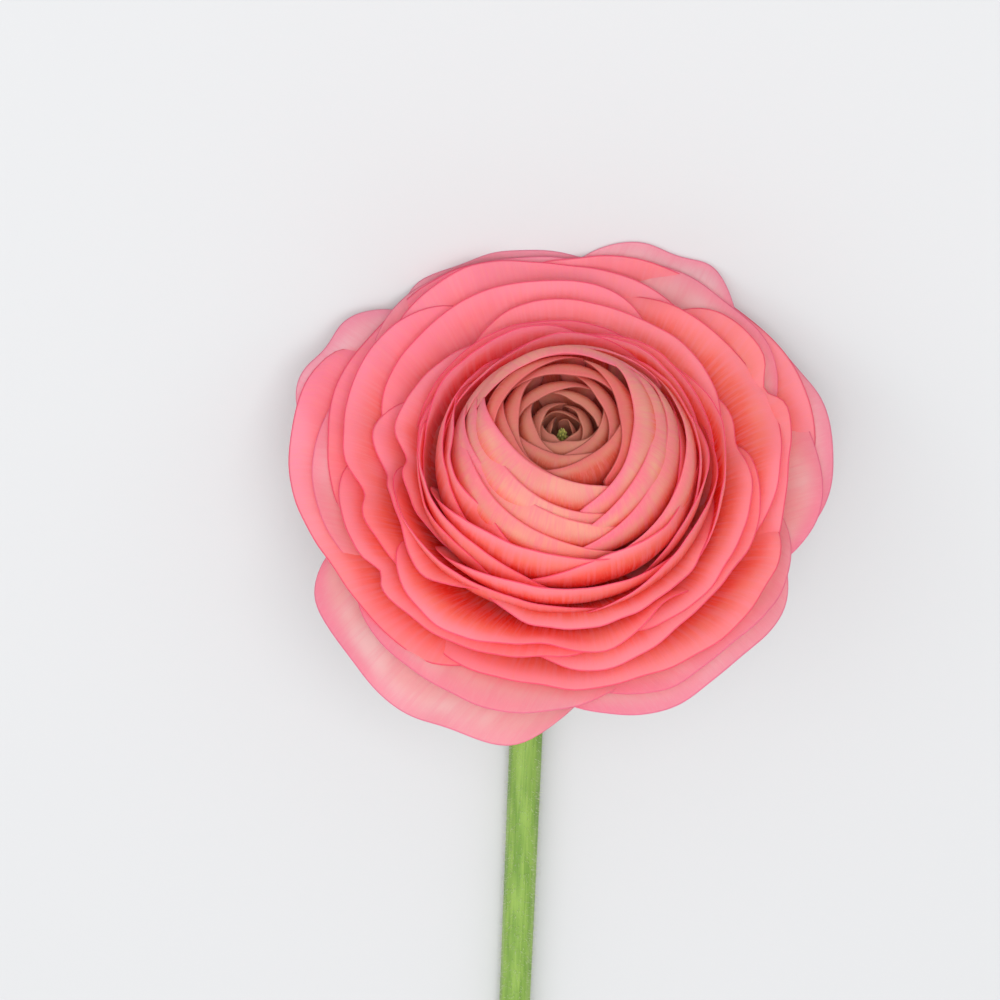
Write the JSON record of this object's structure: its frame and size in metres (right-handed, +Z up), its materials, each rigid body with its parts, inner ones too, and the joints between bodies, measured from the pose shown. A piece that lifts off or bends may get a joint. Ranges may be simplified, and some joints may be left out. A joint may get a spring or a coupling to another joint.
{
  "type": "ranunculus flower",
  "caption": "Cut ranunculus bloom with closely layered coral-pink petals and a short bent stem, lying on its side.",
  "frame": {"origin": "on the surface that the flower lies on, under the middle of its bounding box", "axes": "+Z up, stem along -Y from the bloom, bloom facing up and towards +Y"},
  "size_m": [0.0844, 0.1662, 0.0527],
  "materials": {
    "stem_green": "soft satin, finely haired green plant tissue",
    "eye_green": "dull olive green plant tissue",
    "inner_petal": "soft satin petal, peach with pink rims",
    "coral_petal": "soft satin petal, coral with magenta-pink rims",
    "guard_petal": "soft satin petal, pale pink"
  },
  "bodies": {
    "root": {"stem": "stem_green", "eye": "eye_green", "inner_petals": "inner_petal", "coral_petals": "coral_petal", "guard_petals": "guard_petal"}
  },
  "joints": []
}
